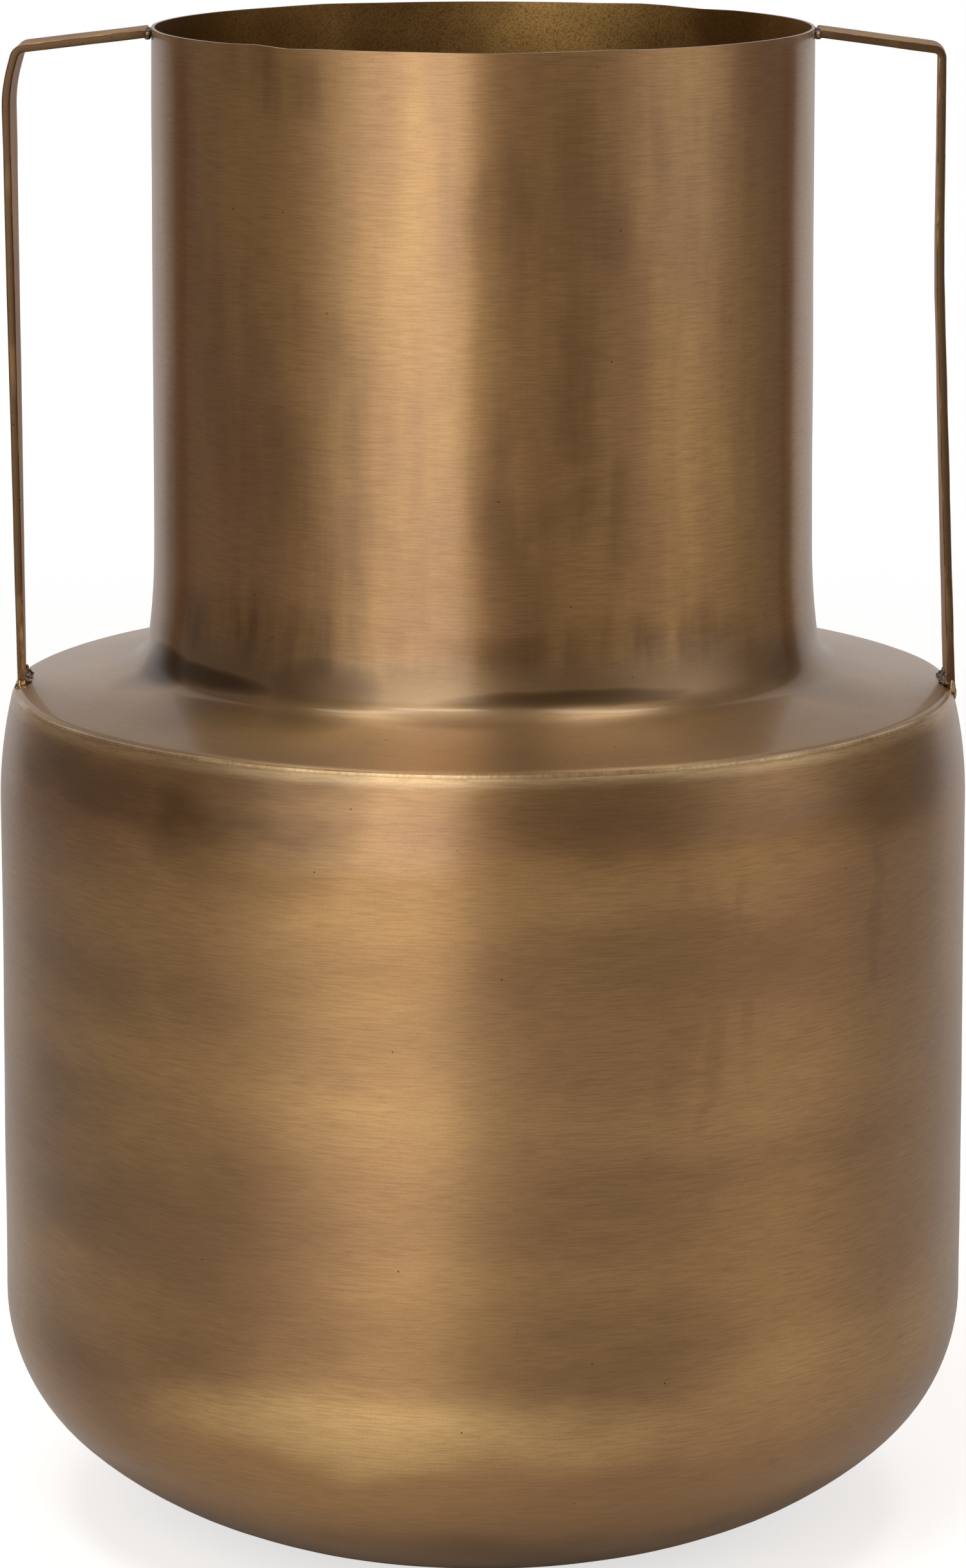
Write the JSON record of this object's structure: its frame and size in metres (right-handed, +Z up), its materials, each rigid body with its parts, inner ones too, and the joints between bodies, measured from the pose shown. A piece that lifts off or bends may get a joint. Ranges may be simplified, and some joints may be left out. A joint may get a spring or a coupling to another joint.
{
  "type": "urn vase",
  "caption": "Tall sheet-metal urn vase with a barrel body, flat sloping shoulder, wide open neck and angular strip handles from rim to shoulder, for standing dried or cut stems.",
  "frame": {"origin": "centre of the flat base, on the surface that the vase stands on", "axes": "+Z up along the vase's axis, handles along X with the left one at -X, front at -Y"},
  "size_m": [0.3012, 0.301, 0.4677],
  "materials": {
    "vessel_brass": "brushed antique brass with brown patina",
    "handle_brass": "antique brass strip, worn bright along its edges",
    "weld_metal": "dark weld bead with bright spots"
  },
  "bodies": {
    "root": {"body_shell": "vessel_brass", "shoulder_ring": "vessel_brass", "neck_tube": "vessel_brass", "edge_weld": "vessel_brass", "collar_weld": "vessel_brass", "neck_seam_weld": "vessel_brass", "left_handle": "handle_brass", "right_handle": "handle_brass", "left_rim_weld": "weld_metal", "right_rim_weld": "weld_metal", "left_foot_weld": "weld_metal", "right_foot_weld": "weld_metal"}
  },
  "joints": []
}
